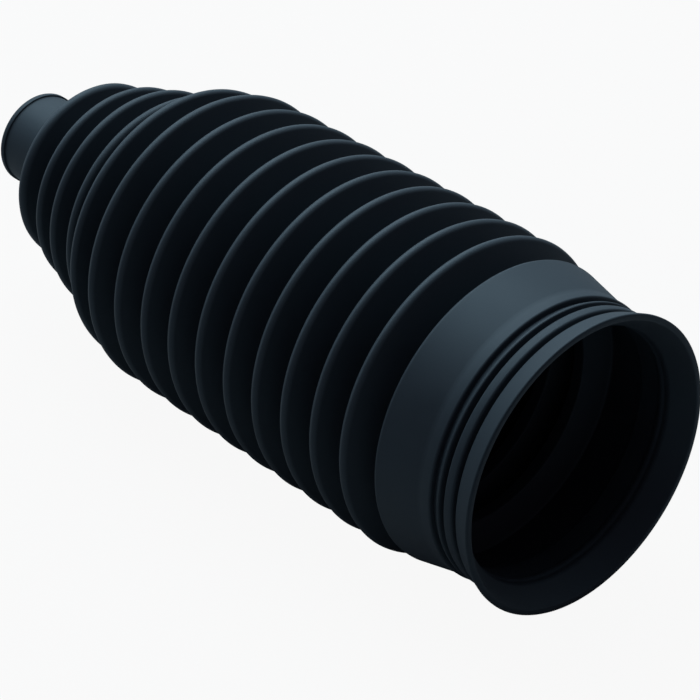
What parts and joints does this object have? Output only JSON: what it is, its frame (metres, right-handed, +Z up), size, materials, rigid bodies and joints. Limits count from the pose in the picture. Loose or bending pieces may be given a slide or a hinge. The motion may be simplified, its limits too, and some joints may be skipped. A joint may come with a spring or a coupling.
{
  "type": "steering rack boot",
  "caption": "Tapered rubber bellows boot with a narrow neck, deep round folds, a plain band, a ribbed clamp seat and a flared mouth.",
  "frame": {"origin": "on the surface that the boot lies on, below the middle of its length", "axes": "+X along the boot's axis from the narrow neck to the open mouth, +Z up"},
  "size_m": [0.1612, 0.0642, 0.0642],
  "materials": {
    "black_rubber": "matte black moulded rubber with a faint sheen on the fold crests"
  },
  "bodies": {
    "root": {"rack_boot": "black_rubber"}
  },
  "joints": []
}
